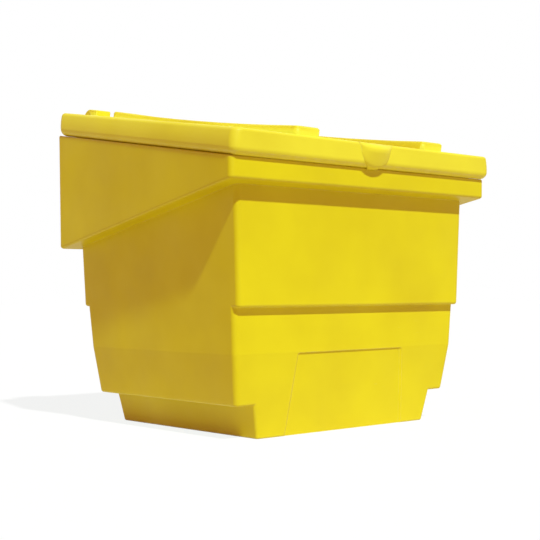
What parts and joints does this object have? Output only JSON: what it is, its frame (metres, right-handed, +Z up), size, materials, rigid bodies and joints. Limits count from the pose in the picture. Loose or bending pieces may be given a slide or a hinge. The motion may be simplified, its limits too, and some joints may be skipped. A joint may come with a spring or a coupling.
{
  "type": "grit salt bin",
  "caption": "Moulded grit and salt bin with a wedge-shaped rim, ledges for lift forks under its sides, and a sloping hinged lid with raised ribs and a lift nose.",
  "frame": {"origin": "on the ground, under the middle of the whole bin's box", "axes": "+Z up, -Y out of the front with the lift nose, +X to the right of someone facing along +Y from the front"},
  "size_m": [1.01, 0.9118, 0.9513],
  "materials": {
    "bin_polyethylene": "rotomoulded, slightly satin",
    "lid_polyethylene": "rotomoulded, slightly satin",
    "rod_steel": "zinc plated",
    "cap_steel": "zinc plated"
  },
  "bodies": {
    "bin": {"bin_body": "bin_polyethylene", "hinge_rod_left": "rod_steel", "hinge_rod_right": "rod_steel", "rod_cap_left_outer": "cap_steel", "rod_cap_left_inner": "cap_steel", "rod_cap_right_outer": "cap_steel", "rod_cap_right_inner": "cap_steel"},
    "lid": {"lid": "lid_polyethylene"}
  },
  "joints": [
    {"name": "lid_hinge", "type": "hinge", "parent": "bin", "child": "lid", "pos_m": [0, 0.4359, 0.91671], "axis": [-1, 0, 0], "range_deg": [0, 116]}
  ]
}
